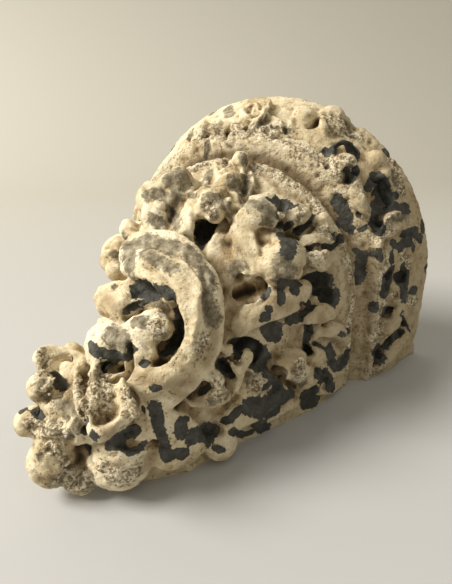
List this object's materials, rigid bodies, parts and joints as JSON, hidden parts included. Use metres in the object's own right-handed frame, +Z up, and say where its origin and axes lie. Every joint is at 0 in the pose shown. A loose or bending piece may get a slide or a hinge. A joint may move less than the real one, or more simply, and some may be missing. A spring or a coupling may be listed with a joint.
{
  "type": "wall corbel",
  "caption": "Plaster wall corbel with a half-round flat-topped shelf, carved leaf and bud body, scrolls and a curled pendant, flat back.",
  "frame": {"origin": "on the flat back face, on the centre line, 80 mm below the shelf top, where the corbel is fixed to the wall", "axes": "+Y out of the flat back into the wall, +Z up to the shelf top, +X to the right seen from the front; the carved front faces -Y"},
  "size_m": [0.3195, 0.2427, 0.303],
  "materials": {
    "painted_plaster": "flaking matt cream paint over slate grey, dusty plaster beneath"
  },
  "bodies": {
    "root": {"plaster_corbel": "painted_plaster"}
  },
  "joints": []
}
